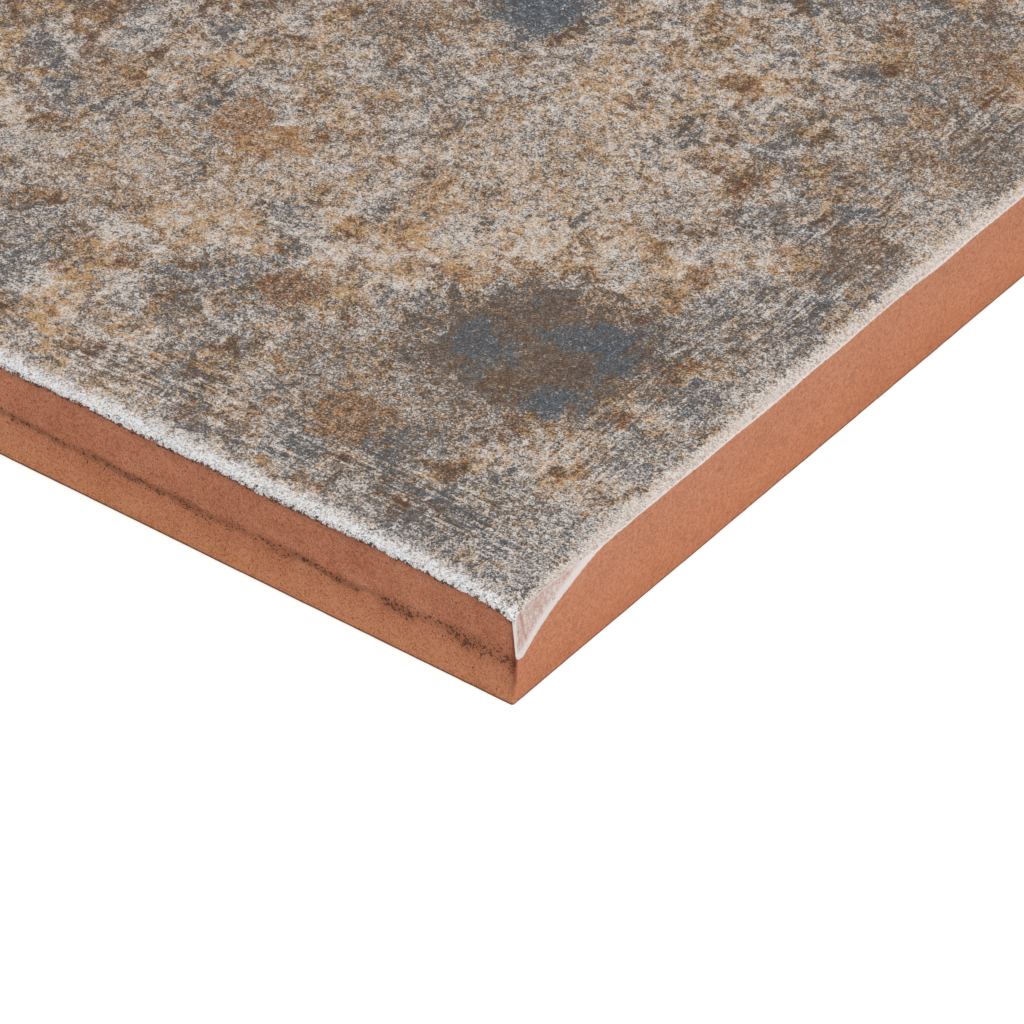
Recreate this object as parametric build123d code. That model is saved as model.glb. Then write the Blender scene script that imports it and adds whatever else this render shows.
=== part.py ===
from build123d import *
import math
import os

# Glazed wall tile, one pressed and fired slab of red clay, lying face up on its back.
# Origin at the centre of the back, +X along the long side, +Z out of the glazed face.
# The two long sides are cut straight; the two short sides are as they left the press.

# Slab
LENGTH = 300.0
WIDTH = 100.0
THICKNESS = 7.0
CORNER_RADIUS = 0.15

# Pressed short sides: they widen from the back edge up to this height
TAPER_INSET = 0.3
TAPER_HEIGHT = 1.9

# The glazed face rolls off towards its edges: a gentle slope of this width leads to a crown,
# which stands in from the side, and from there the surface falls steeply to the side
ROLL_SLOPE = 10.0
ROLL_BLEND = 0.15
CUT_ROLL_WIDTH = 0.8
CUT_CROWN_INSET = 0.12
CUT_CROWN_FALL = 0.13
PRESSED_ROLL_WIDTH = 1.0
PRESSED_CROWN_INSET = 0.14
PRESSED_CROWN_FALL = 0.12

# Waves of the rolled edges, as shares of a roll's width and fall
CUT_WAVE = 0.15
PRESSED_WAVE = 0.25
LONG_WAVE = 23.0
SHORT_WAVE = 8.5
SHORT_WAVE_SHARE = 0.5

# Glaze lip: at one corner the face runs down over the pressed side
LIP_RUN = 8.2
LIP_FALL = 3.2
LIP_INSET = 0.22
LIP_POWER = 1.35

# The corners sag, because the body shrinks most there
SAG_RUN = 3.5
SAG_FALL = 0.55
SAG_POWER = 2

# Key in the back: shallow pockets between ribs, inside a flat border
KEY_BORDER = 8.0
KEY_RIB = 2.25
KEY_POCKET = 18.0
KEY_DEPTH = 0.4
KEY_DRAFT = 30.0
KEY_CORNER_RADIUS = 1.5

# How far a cut reaches past the faces that it cuts
CUT_REACH = 0.6

# Distances from a corner at which a roll has a section, and the step between the rest
CORNER_STATIONS = (0.0, 1.2, 2.5, 4.0, 5.8, 8.0, 11.0)
STATION_STEP = 9.0


def roll_section(width, sag, inset, fall):
    """Section of what is cut away along one edge.

    X is the distance in from the side face and Y the height above the glazed face.
    A gentle slope crosses the glazed face, a steep one crosses the side face, and a curve joins them.
    """
    crown_drop = width * math.tan(math.radians(ROLL_SLOPE)) + sag
    gentle = math.atan2(crown_drop, width)
    steep = math.atan2(fall, inset)
    crown = Vector(inset, -crown_drop)
    inward = Vector(math.cos(gentle), math.sin(gentle))
    downward = Vector(-math.cos(steep), -math.sin(steep))
    curve_start = crown + inward * ROLL_BLEND
    curve_end = crown + downward * ROLL_BLEND
    on_face = crown + inward * (width / math.cos(gentle) + CUT_REACH)
    past_side = crown + downward * (inset / math.cos(steep) + CUT_REACH)
    with BuildLine() as outline:
        Line(on_face, curve_start)
        Bezier(curve_start, crown, curve_end)
        Line(curve_end, past_side)
        Polyline(past_side, (past_side.X - CUT_REACH, CUT_REACH), (on_face.X, CUT_REACH), on_face)
    return Wire(outline.edges())


def stations(length):
    """Places along an edge where its roll has a section, close together near both corners."""
    near = list(CORNER_STATIONS)
    middle_length = length - 2 * near[-1]
    steps = max(1, round(middle_length / STATION_STEP))
    middle = [near[-1] + middle_length * step / steps for step in range(1, steps)]
    far = [length - place for place in reversed(near)]
    return [-CUT_REACH] + near + middle + far + [length + CUT_REACH]


def fade(distance, run):
    """1 at a corner, falling to 0 at run and beyond."""
    return max(0.0, 1.0 - max(0.0, distance) / run)


def waves(place, phase):
    """Height of the waves along an edge, about -1 to 1."""
    long_wave = math.sin(2 * math.pi * place / LONG_WAVE + phase)
    short_wave = math.sin(2 * math.pi * place / SHORT_WAVE + 2 * phase)
    return (long_wave + SHORT_WAVE_SHARE * short_wave) / (1 + SHORT_WAVE_SHARE)


def roll(length, width, inset, fall, wave, phase, lip=False):
    """What is cut away along one edge, from X = 0 to length, with the tile on its +Y side."""
    sections = []
    for place in stations(length):
        share = 1 + wave * waves(place, phase)
        sag = fade(place, SAG_RUN) ** SAG_POWER + fade(length - place, SAG_RUN) ** SAG_POWER
        reach = fade(place, LIP_RUN) if lip else 0.0
        section = roll_section(
            width * share,
            SAG_FALL * sag,
            inset + LIP_INSET * reach,
            fall * share + LIP_FALL * reach**LIP_POWER,
        )
        upright = Plane(origin=(place, 0, 0), x_dir=(0, 1, 0), z_dir=(1, 0, 0))
        sections.append(upright * section)
    return Solid.make_loft(sections)


def cut_roll(phase):
    return roll(LENGTH, CUT_ROLL_WIDTH, CUT_CROWN_INSET, CUT_CROWN_FALL, CUT_WAVE, phase)


def pressed_roll(phase, lip=False):
    inset = PRESSED_CROWN_INSET
    return roll(WIDTH, PRESSED_ROLL_WIDTH, inset, PRESSED_CROWN_FALL, PRESSED_WAVE, phase, lip)


def rolls():
    """The rolls of all four edges, each started at one corner of the face and turned along its edge."""
    half_length = LENGTH / 2
    half_width = WIDTH / 2
    return [
        Location((-half_length, -half_width, THICKNESS)) * cut_roll(phase=0.4),
        Location((half_length, half_width, THICKNESS), (0, 0, 180)) * cut_roll(phase=2.1),
        Location((half_length, -half_width, THICKNESS), (0, 0, 90)) * pressed_roll(phase=1.3, lip=True),
        Location((-half_length, half_width, THICKNESS), (0, 0, -90)) * pressed_roll(phase=3.7),
    ]


def slab():
    """The plain tile: upright long sides, and short sides that taper towards the back."""
    half_length = LENGTH / 2
    side_view = Polyline(
        (-half_length + TAPER_INSET, 0),
        (half_length - TAPER_INSET, 0),
        (half_length, TAPER_HEIGHT),
        (half_length, THICKNESS),
        (-half_length, THICKNESS),
        (-half_length, TAPER_HEIGHT),
        close=True,
    )
    body = extrude(Plane.XZ * make_face(side_view), amount=WIDTH / 2, both=True)
    corner_edges = body.edges() - body.edges().filter_by(Axis.X) - body.edges().filter_by(Axis.Y)
    return fillet(corner_edges, CORNER_RADIUS)


def key_pockets():
    """Tapered pockets in the back, on a grid that is centred on the tile."""
    pitch = KEY_POCKET + KEY_RIB
    columns = int((LENGTH - 2 * KEY_BORDER + KEY_RIB) / pitch)
    rows = int((WIDTH - 2 * KEY_BORDER + KEY_RIB) / pitch)
    outline = RectangleRounded(KEY_POCKET, KEY_POCKET, KEY_CORNER_RADIUS)
    pocket = extrude(outline, amount=KEY_DEPTH, taper=KEY_DRAFT)
    return [place * pocket for place in GridLocations(pitch, pitch, columns, rows)]


def tile():
    """The slab, with one roll after another cut off it, because neighbours meet at a corner."""
    body = slab()
    for cut in rolls():
        body = body - cut
    return body - key_pockets()


os.makedirs("parts", exist_ok=True)
export_step(tile(), "parts/tile.step")
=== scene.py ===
import bpy
import math
import numpy as np
from mathutils import Matrix, Vector


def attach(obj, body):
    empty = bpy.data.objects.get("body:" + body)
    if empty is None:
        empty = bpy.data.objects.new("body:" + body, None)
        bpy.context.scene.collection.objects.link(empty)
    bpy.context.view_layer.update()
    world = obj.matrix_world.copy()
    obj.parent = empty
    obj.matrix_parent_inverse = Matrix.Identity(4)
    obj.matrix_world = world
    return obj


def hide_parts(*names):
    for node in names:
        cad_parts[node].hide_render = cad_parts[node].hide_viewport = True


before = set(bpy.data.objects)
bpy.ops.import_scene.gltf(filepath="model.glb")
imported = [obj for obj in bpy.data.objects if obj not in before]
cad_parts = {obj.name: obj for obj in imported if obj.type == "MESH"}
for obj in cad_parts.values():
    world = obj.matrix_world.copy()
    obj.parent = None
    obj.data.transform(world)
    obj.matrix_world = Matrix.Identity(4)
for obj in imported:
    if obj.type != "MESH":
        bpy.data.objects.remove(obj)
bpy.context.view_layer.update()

# Lengths are in mm up to the point where a mesh is made
MM = 0.001

# The tile's main sizes, as in its solid
HALF_LENGTH = 150.0
HALF_WIDTH = 50.0
THICKNESS = 7.0
CORNER_RADIUS = 0.15
TAPER_INSET = 0.3
TAPER_HEIGHT = 1.9
ROLL_SLOPE = math.tan(math.radians(10.0))
CUT_ROLL = {"width": 0.8, "inset": 0.12, "fall": 0.13, "wave": 0.15}
PRESSED_ROLL = {"width": 1.0, "inset": 0.14, "fall": 0.12, "wave": 0.25}
LONG_WAVE = 23.0
SHORT_WAVE = 8.5
SHORT_WAVE_SHARE = 0.5
LIP_RUN = 8.2
LIP_FALL = 3.2
LIP_INSET = 0.22
LIP_POWER = 1.35
SAG_RUN = 3.5
SAG_FALL = 0.55
SAG_POWER = 2
KEY_PITCH = 20.25
KEY_COLUMNS = 14
KEY_ROWS = 4
KEY_HALF_MOUTH = 9.0
KEY_MOUTH_RADIUS = 1.5
KEY_DEPTH = 0.4
KEY_WALL_RUN = 0.231

# How softly the slope and the fall of a roll meet, a roll and the face, and the lip and its end
CROWN_BLEND = 0.05
FACE_BLEND = 0.03
LIP_END_BLEND = 0.12

# Fine relief that the solid doesn't have, mostly depths
ROLL_WAVER_SHARE = 0.5
FACE_SETTLE = 0.012
GLAZE_LUMP = 0.016
CHIP_DEPTH = 0.09
CHIP_HOLLOW = 0.03
LIP_END = 3.42
LIP_END_WAVER = 0.06
LIP_END_DROP = 0.002
LIP_HOLLOW = 0.055
BEAD_AT = 0.28
BEAD_HALF_WIDTH = 0.2
CREASE_AT = 48.2
CREASE_LEAN = 0.167
CREASE_HALF_WIDTH = 0.13
CREASE_DEPTH = 0.05
CLAY_GRAIN = 0.012
CLAY_SWELL = 0.02
SEAM_HEIGHT = 3.2
SEAM_HALF_WIDTH = 0.16
SEAM_DEPTH = 0.055
PIT_COUNT = 900
PIT_HEIGHTS = (0.2, 6.4)
PIT_RADII = (0.12, 0.38)
PIT_SHARES = (0.2, 1.0)
PIT_DEPTH = 0.09
BACK_EDGE_HEIGHT = 0.02
BACK_EDGE_WEAR = 0.009
BACK_LUMP = 0.01
KEY_RIB_LUMP = 0.006
KEY_ROUGHNESS = 0.012
KEY_FLOOR_LUMP = 0.012

# Layers of noise for the relief: the size of the lumps, and a seed
RELIEF_LAYERS = {
    "roll_waver": (2.6, 11),
    "settle": (21.0, 8),
    "crown_lumps": (1.1, 21),
    "steep_lumps": (0.9, 21),
    "fine_lumps": (0.45, 22),
    "small_chips": (0.55, 31),
    "large_chips": (1.7, 32),
    "lip_end": (0.3, 33),
    "clay_grain": (0.6, 3),
    "clay_swell": (3.1, 4),
    "seam_wander": (3.7, 5),
    "seam_breaks": (1.6, 6),
    "edge_wear": (0.7, 41),
    "back_lumps": (2.0, 51),
    "key_walls": (1.4, 52),
    "key_floor": (3.0, 53),
}

# Points round the tile: the step where the photograph looks, near the corners, and elsewhere
FINE_STEP = 0.2
END_STEP = 0.35
END_REACH = 6
PLAIN_STEP = 0.75
NEAR_SIDE_FINE = (84, HALF_LENGTH)
RIGHT_SIDE_FINE = (-HALF_WIDTH, 20)
NOWHERE = (1000, 1000)
CORNER_STEP_DEGREES = 15

# The middle of the glazed face is a grid: from, to and how many points. Coarse rings take one station
# of so many, at a distance in from the side; the others lie at shares of a roll's width or inset.
MIDDLE_X = (-145, 145, 117)
MIDDLE_Y = (-45, 45, 37)
COARSE_RINGS = ((4, 3.4), (2, 2.2))
CROWN_SHARES = (1.45, 1.15, 0.95, 0.75, 0.55, 0.36, 0.2, 0.08)
STEEP_SHARES = (1.0, 0.93, 0.85, 0.76, 0.66, 0.55, 0.44, 0.33, 0.23, 0.14, 0.06, 0.0)
SIDE_STEPS = 22
BACK_RINGS = ((1, 0.05), (2, 0.9), (4, 3.0))

# How fast a ring's corners grow rounder with its distance in
FACE_SPREAD = 0.8
BACK_SPREAD = 0.3

# The taper of the short sides fades out along the long ones
TAPER_RUN = 4.0

# Turns round a rectangle are counted from 0 to 4, one a side
FULL_TURN = 4.0
ON_SIDE = 0.999999


# Noise for relief

def lattice(ix, iy, seed):
    """A fixed random number from -1 to 1 for each whole-number place."""
    mixed = (ix * 374761393 + iy * 668265263 + seed * 974634777) & 0xFFFFFFFF
    mixed = ((mixed ^ (mixed >> 13)) * 1274126177) & 0xFFFFFFFF
    mixed = ((mixed ^ (mixed >> 15)) * 2246822519) & 0xFFFFFFFF
    return (mixed ^ (mixed >> 16)) / 0x7FFFFFFF - 1.0


def noise(layer, x, y=0.0):
    """Smooth noise from -1 to 1, with the lumps of its layer."""
    size, seed = RELIEF_LAYERS[layer]
    cells, shares = [], []
    for value in (x, y):
        scaled = np.atleast_1d(np.asarray(value, float)) / size
        low = np.floor(scaled)
        share = scaled - low
        cells.append(low.astype(np.int64))
        shares.append(share * share * (3 - 2 * share))
    total = 0.0
    for a in (0, 1):
        for b in (0, 1):
            weight = shares[0] if a else 1 - shares[0]
            weight = weight * (shares[1] if b else 1 - shares[1])
            total = total + weight * lattice(cells[0] + a, cells[1] + b, seed)
    return total


def ramp(value, low, high):
    """0 below low, 1 above high, smooth between."""
    share = np.clip((value - low) / (high - low), 0.0, 1.0)
    return share * share * (3 - 2 * share)


# The glazed face, as a depth below its highest plane

def waves(place, phase):
    """Height of the waves along an edge, about -1 to 1."""
    long_wave = np.sin(2 * np.pi * place / LONG_WAVE + phase)
    short_wave = np.sin(2 * np.pi * place / SHORT_WAVE + 2 * phase)
    return (long_wave + SHORT_WAVE_SHARE * short_wave) / (1 + SHORT_WAVE_SHARE)


def fade(distance, run):
    """1 at a corner, falling to 0 at run and beyond."""
    return np.clip(1.0 - np.maximum(distance, 0.0) / run, 0.0, 1.0)


def smooth_max(a, b, softness):
    """The larger of two depths, and a little more where they are nearly equal."""
    return np.maximum(a, b) + np.maximum(softness - np.abs(a - b), 0.0) ** 2 / (4 * softness)


def roll_shape(place, length, shape, phase, lip):
    """Width, crown drop, inset and fall of a roll at places along its edge."""
    share = 1 + shape["wave"] * waves(place, phase)
    share = share + ROLL_WAVER_SHARE * shape["wave"] * noise("roll_waver", place, phase * 10)
    sag = fade(place, SAG_RUN) ** SAG_POWER + fade(length - place, SAG_RUN) ** SAG_POWER
    lip_share = fade(place, LIP_RUN) if lip else 0.0 * place
    width = shape["width"] * share
    return (
        width,
        width * ROLL_SLOPE + SAG_FALL * sag,
        shape["inset"] + LIP_INSET * lip_share,
        shape["fall"] * share + LIP_FALL * lip_share**LIP_POWER,
    )


def edge_frames(x, y):
    """For each edge: distance in, place along it, length, roll, phase, and whether it has the lip."""
    return (
        (y + HALF_WIDTH, x + HALF_LENGTH, 2 * HALF_LENGTH, CUT_ROLL, 0.4, False),
        (HALF_WIDTH - y, HALF_LENGTH - x, 2 * HALF_LENGTH, CUT_ROLL, 2.1, False),
        (HALF_LENGTH - x, y + HALF_WIDTH, 2 * HALF_WIDTH, PRESSED_ROLL, 1.3, True),
        (x + HALF_LENGTH, HALF_WIDTH - y, 2 * HALF_WIDTH, PRESSED_ROLL, 3.7, False),
    )


# The way out over each edge, in the order of edge_frames
EDGE_FACINGS = ((0, -1), (0, 1), (1, 0), (-1, 0))


def face_depth(x, y):
    """Depth of the glazed face below the highest plane, and the distance in from the nearest crown."""
    depth = np.zeros_like(x)
    inward = np.full_like(x, np.inf)
    for distance, place, length, shape, phase, lip in edge_frames(x, y):
        width, crown_drop, inset, fall = roll_shape(place, length, shape, phase, lip)
        gentle = crown_drop * (1 - (distance - inset) / width)
        steep = crown_drop + fall * (1 - distance / inset)
        depth = smooth_max(depth, smooth_max(gentle, steep, CROWN_BLEND), FACE_BLEND)
        inward = np.minimum(inward, distance - inset)
    return depth, inward


# Stations round the tile

def side_shares(half, fine_low, fine_high):
    """Places along a side, as shares from -1 to 1, close together where the photograph looks."""
    places = [-half]
    while places[-1] < half:
        here = places[-1]
        near_end = min(here + half, half - here)
        if fine_low <= here <= fine_high:
            step = FINE_STEP
        elif near_end < END_REACH:
            step = END_STEP
        else:
            step = PLAIN_STEP
        places.append(here + step)
    places = np.array(places)
    return (places - places[0]) / (places[-1] - places[0]) * 2 - 1


def make_stations():
    """Rows of a place on a square from -1 to 1, and of the way out there, once round the tile."""
    rows = []
    for half, fine, (cx, cy), (tx, ty), start in (
        (HALF_LENGTH, NEAR_SIDE_FINE, (0, -1), (1, 0), -90),
        (HALF_WIDTH, RIGHT_SIDE_FINE, (1, 0), (0, 1), 0),
        (HALF_LENGTH, NOWHERE, (0, 1), (-1, 0), 90),
        (HALF_WIDTH, NOWHERE, (-1, 0), (0, -1), 180),
    ):
        for share in side_shares(half - CORNER_RADIUS, *fine):
            rows.append((cx + tx * share, cy + ty * share, cx, cy))
        for degrees in range(CORNER_STEP_DEGREES, 90, CORNER_STEP_DEGREES):
            angle = math.radians(start + degrees)
            rows.append((cx + tx, cy + ty, math.cos(angle), math.sin(angle)))
    return np.array(rows)


STATIONS = make_stations()
COUNT = len(STATIONS)


def ring(inward, every=1, spread=FACE_SPREAD):
    """Points of a closed ring at a distance in from the side faces."""
    ax, ay, dx, dy = STATIONS[::every].T
    radius = CORNER_RADIUS + spread * inward
    x = ax * (HALF_LENGTH - inward - radius) + radius * dx
    y = ay * (HALF_WIDTH - inward - radius) + radius * dy
    return x, y


def even_ring(every, distance, spread=FACE_SPREAD):
    """A ring that takes one station of so many, at the same distance in all round."""
    return ring(np.full(len(STATIONS[::every]), distance), every, spread)


def places_round(x, y):
    """How far round the tile each point of a ring is, and the ring's length."""
    steps = np.hypot(np.roll(x, -1) - x, np.roll(y, -1) - y)
    return np.concatenate(([0.0], np.cumsum(steps)[:-1])), steps.sum()


# At each station: its point on the side face, the way out, how far round it is, how far the side is
# a cut one, and how far it is an end, which narrows towards the back
OUTER_X, OUTER_Y = ring(np.zeros(COUNT))
OUT_X, OUT_Y = STATIONS[:, 2], STATIONS[:, 3]
ROUND_PLACE, ROUND_LENGTH = places_round(OUTER_X, OUTER_Y)
CUT_SIDE = np.abs(OUT_Y)
END_SHARE = np.clip((np.abs(OUTER_X) - HALF_LENGTH + TAPER_RUN) / (TAPER_RUN - CORNER_RADIUS), 0.0, 1.0)


class Shell:
    """Collects the tile's points, their attributes and faces."""

    LIP_MARK_RUN = 9.0

    def __init__(self):
        self.points, self.attributes, self.faces, self.regions = [], [], [], []
        self.total = 0

    def add(self, x, y, z, inward, glaze_line, cut_side):
        corner_distance = np.hypot(np.asarray(x) - HALF_LENGTH, np.asarray(y) + HALF_WIDTH)
        lip = fade(corner_distance, self.LIP_MARK_RUN)
        rows = np.broadcast_arrays(x, y, z, inward, glaze_line, cut_side, lip)
        rows = np.stack([np.asarray(row, float).ravel() for row in rows], 1)
        self.points.append(rows[:, :3])
        self.attributes.append(rows[:, 3:])
        first = self.total
        self.total += len(rows)
        return np.arange(first, self.total)

    def add_back(self, x, y, z, cut_side=0.0):
        """Points of the back, which is bare clay."""
        return self.add(x, y, z, 0.0, -THICKNESS, cut_side)

    def quads(self, a, b, c, d, region):
        for face in np.stack((a, b, c, d), 1).tolist():
            self.faces.append(face)
            self.regions.append(region)

    def grid(self, rows, region):
        """Quads between the points of a grid."""
        for low, high in zip(rows[:-1], rows[1:]):
            self.quads(low[:-1], low[1:], high[1:], high[:-1], region)

    def bridge(self, upper, lower, region):
        """Quads between two closed rings of the same count; upper is nearer the glazed face's middle."""
        self.quads(upper, lower, np.roll(lower, -1), np.roll(upper, -1), region)

    def zip_rings(self, outer, inner, region, flip=False):
        """Triangles between two closed rings of different counts."""
        points = np.concatenate(self.points)
        turns = [round_turn(points[loop, 0], points[loop, 1]) for loop in (outer, inner)]
        starts = [int(np.argmin(turn)) for turn in turns]
        loops = [np.roll(loop, -start) for loop, start in zip((outer, inner), starts)]
        turns = [
            np.append(np.roll(turn, -start), FULL_TURN + turn[start])
            for turn, start in zip(turns, starts)
        ]
        counts = [len(loop) for loop in loops]
        i = j = 0
        while i < counts[0] or j < counts[1]:
            here, there = loops[0][i % counts[0]], loops[1][j % counts[1]]
            outer_next = turns[0][i + 1] if i < counts[0] else math.inf
            inner_next = turns[1][j + 1] if j < counts[1] else math.inf
            if outer_next <= inner_next:
                i += 1
                face = [here, loops[0][i % counts[0]], there]
            else:
                j += 1
                face = [here, loops[1][j % counts[1]], there]
            face = [int(v) for v in face]
            self.faces.append(face[::-1] if flip else face)
            self.regions.append(region)


def round_turn(x, y):
    """How far round a rectangle a point is, from 0 at one corner to 4, by the rectangle through it."""
    half_x, half_y = np.abs(x).max(), np.abs(y).max()
    grow = 1 / np.maximum(np.abs(x) / half_x, np.abs(y) / half_y)
    u, v = np.clip(x * grow / half_x, -1, 1), np.clip(y * grow / half_y, -1, 1)
    near, right, far = (v <= -ON_SIDE), (u >= ON_SIDE), (v >= ON_SIDE)
    return np.select(
        [near, right, far],
        [(u + 1) / 2, 1 + (v + 1) / 2, 2 + (1 - u) / 2],
        3 + (1 - v) / 2,
    )


# The tile's mesh, in rings from the glazed face out, down the sides and in over the back

random = np.random.default_rng(4597)
PITS = np.stack(
    (
        random.uniform(0, ROUND_LENGTH, PIT_COUNT),
        random.uniform(*PIT_HEIGHTS, PIT_COUNT),
        random.uniform(*PIT_RADII, PIT_COUNT),
        random.uniform(*PIT_SHARES, PIT_COUNT),
    ),
    1,
)


def side_relief(place, z, cut):
    """How far a side face lies in from its plane: pits, grain and the seam of the cut sides."""
    grain = 0.5 + 0.5 * noise("clay_grain", place, z)
    swell = 0.5 + 0.5 * noise("clay_swell", place, z)
    depth = CLAY_GRAIN * grain + CLAY_SWELL * swell
    seam_z = SEAM_HEIGHT + 0.28 * np.sin(place / 7.3) + 0.2 * noise("seam_wander", place)
    broken = ramp(noise("seam_breaks", place), -0.45, 0.35)
    seam = np.exp(-(((z - seam_z) / SEAM_HALF_WIDTH) ** 2)) * broken * cut
    depth = depth + SEAM_DEPTH * seam
    holes = np.zeros(place.shape)
    for at, height, radius, share in PITS:
        close = np.abs(place - at) < radius
        inside = 1 - ((place[close] - at) ** 2 + (z[close] - height) ** 2) / radius**2
        holes[close] = np.maximum(holes[close], share * PIT_DEPTH * np.clip(inside, 0, 1) ** 1.5)
    return depth + holes


def glaze_lumps(coarse_layer, x, y):
    """Depth of the lumps in the glaze near the arris."""
    lumps = noise(coarse_layer, x, y) * 0.5 + noise("fine_lumps", x, y) * 0.5
    return GLAZE_LUMP * (1 + lumps)


def roll_sizes():
    """Width and inset of the roll at each station, blended round the corners."""
    width = np.zeros(COUNT)
    inset = np.zeros(COUNT)
    for facing, edge in zip(EDGE_FACINGS, edge_frames(OUTER_X, OUTER_Y)):
        weight = np.clip(OUT_X * facing[0] + OUT_Y * facing[1], 0, 1) ** 2
        edge_width, _, edge_inset, _ = roll_shape(*edge[1:])
        width += weight * edge_width
        inset += weight * edge_inset
    return width, inset


def add_middle(shell):
    """The middle of the glazed face, as a grid with coarse rings round it; returns the last ring."""
    x, y = np.meshgrid(np.linspace(*MIDDLE_X), np.linspace(*MIDDLE_Y))
    depth, inward = face_depth(x, y)
    settle = FACE_SETTLE + FACE_SETTLE * noise("settle", x, y)
    settle = settle * ramp(inward, 3.0, 12.0)
    nearer_cut = ramp((HALF_LENGTH - np.abs(x)) - (HALF_WIDTH - np.abs(y)), -0.5, 0.5)
    middle = shell.add(x, y, THICKNESS - depth - settle, inward, inward + 0.1, nearer_cut)
    middle = middle.reshape(x.shape)
    shell.grid(middle, "face")
    last = np.concatenate((middle[0, :-1], middle[:-1, -1], middle[-1, :0:-1], middle[:0:-1, 0]))
    for every, distance in COARSE_RINGS:
        x, y = even_ring(every, distance)
        depth, inward = face_depth(x, y)
        loop = shell.add(x, y, THICKNESS - depth, inward, inward + 0.1, CUT_SIDE[::every])
        shell.zip_rings(loop, last, "face")
        last = loop
    return last


def add_crown(shell, inner, width, inset, steep_length):
    """Rings out to the crown of the roll; returns the last one."""
    last = None
    for share in CROWN_SHARES:
        x, y = ring(inset + share * width)
        depth, inward = face_depth(x, y)
        depth = depth + glaze_lumps("crown_lumps", x, y) * ramp(-share, -1.1, -0.6)
        loop = shell.add(x, y, THICKNESS - depth, inward, steep_length + share * width, CUT_SIDE)
        if last is None:
            shell.zip_rings(loop, inner, "face")
        else:
            shell.bridge(last, loop, "face")
        last = loop
    return last


def add_steep(shell, last, inset, crown_z, arris_z, steep_length):
    """Rings from the crown down to the glaze line; returns the last one and its heights."""
    chips = ramp(noise("small_chips", ROUND_PLACE), 0.25, 0.8) * CUT_SIDE
    chips = chips + 0.6 * ramp(noise("large_chips", ROUND_PLACE), 0.35, 0.9) * CUT_SIDE
    is_lip = ramp(crown_z - arris_z, 0.3, 0.9) * (1 - CUT_SIDE)
    lip_end = LIP_END + LIP_END_WAVER * noise("lip_end", OUTER_Y)
    for share in STEEP_SHARES:
        x, y = ring(inset * share)
        depth, inward = face_depth(x, y)
        depth = depth + glaze_lumps("steep_lumps", x, y) + CHIP_DEPTH * chips * ramp(-share, -1.0, -0.1)
        z = smooth_max(THICKNESS - depth, lip_end + (crown_z - lip_end) * share, LIP_END_BLEND)
        z = z - LIP_END_DROP
        above = share * steep_length
        bead = np.exp(-(((above - BEAD_AT) / BEAD_HALF_WIDTH) ** 2))
        crease = np.exp(-(((OUTER_Y + CREASE_AT + CREASE_LEAN * z) / CREASE_HALF_WIDTH) ** 2))
        hollow = LIP_HOLLOW * ramp(above, 0.05, 0.3) * (1 - 0.8 * bead) * ramp(-share, -0.98, -0.85)
        hollow = is_lip * hollow + is_lip * CREASE_DEPTH * crease * ramp(above, 0.3, 0.8)
        hollow = hollow + CHIP_HOLLOW * chips * (1 - share)
        x, y = x - OUT_X * hollow, y - OUT_Y * hollow
        loop = shell.add(x, y, z, -(1 - share) * steep_length, above, CUT_SIDE)
        shell.bridge(last, loop, "face" if share > 0.99 else "side")
        last = loop
    return last, z


def add_sides(shell, last, arris_z, steep_length):
    """Rings down the side faces; returns the last one."""
    for step in range(1, SIDE_STEPS + 1):
        share = step / SIDE_STEPS
        z = BACK_EDGE_HEIGHT + (arris_z - BACK_EDGE_HEIGHT) * (1 - share)
        taper = TAPER_INSET * np.clip(1 - z / TAPER_HEIGHT, 0, 1) * END_SHARE
        below = arris_z - z
        relief = side_relief(ROUND_PLACE, z, CUT_SIDE) * ramp(below, 0.0, 0.5) * ramp(z, 0.0, 0.4)
        wear_and_bottom_shade = BACK_EDGE_WEAR * (1 + noise("edge_wear", ROUND_PLACE)) * ramp(-z, -0.12, -0.02)
        x = OUTER_X - OUT_X * (relief + wear_and_bottom_shade) - np.sign(OUTER_X) * taper
        y = OUTER_Y - OUT_Y * (relief + wear_and_bottom_shade)
        loop = shell.add(x, y, z, -steep_length - below, -below, CUT_SIDE)
        shell.bridge(last, loop, "side")
        last = loop
    return last


def add_back(shell, last):
    """The border of the back, whose first ring is its worn edge, and the key inside it."""
    for every, distance in BACK_RINGS:
        is_edge = every == 1
        x, y = even_ring(every, distance, BACK_SPREAD)
        x = x - np.sign(x) * TAPER_INSET * END_SHARE[::every]
        z = BACK_LUMP * (1 + noise("back_lumps", x, y)) * (0 if is_edge else 1)
        loop = shell.add_back(x, y, z, CUT_SIDE[::every])
        if is_edge:
            shell.bridge(last, loop, "side")
        else:
            shell.zip_rings(last, loop, "back", flip=True)
        last = loop
    shell.zip_rings(last, add_key(shell), "back", flip=True)


# The key. A cell's points lie on the lines of a square from -1 to 1.
CELL_PARTS = 8
CELL_STEPS = np.linspace(-1, 1, CELL_PARTS + 1)
CELL_SQUARE = [(s, -1.0) for s in CELL_STEPS[:-1]] + [(1.0, s) for s in CELL_STEPS[:-1]]
CELL_SQUARE += [(-s, 1.0) for s in CELL_STEPS[:-1]] + [(-1.0, -s) for s in CELL_STEPS[:-1]]

# Half sizes and depths of a pocket's rings: round its mouth, down its wall, and on its floor
POCKET_LEVELS = (
    (KEY_HALF_MOUTH + 0.06, 0.0),
    (KEY_HALF_MOUTH - 0.03, 0.07),
    (KEY_HALF_MOUTH - KEY_WALL_RUN + 0.05, KEY_DEPTH - 0.08),
    (KEY_HALF_MOUTH - KEY_WALL_RUN - 0.1, KEY_DEPTH - 0.01),
)


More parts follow.
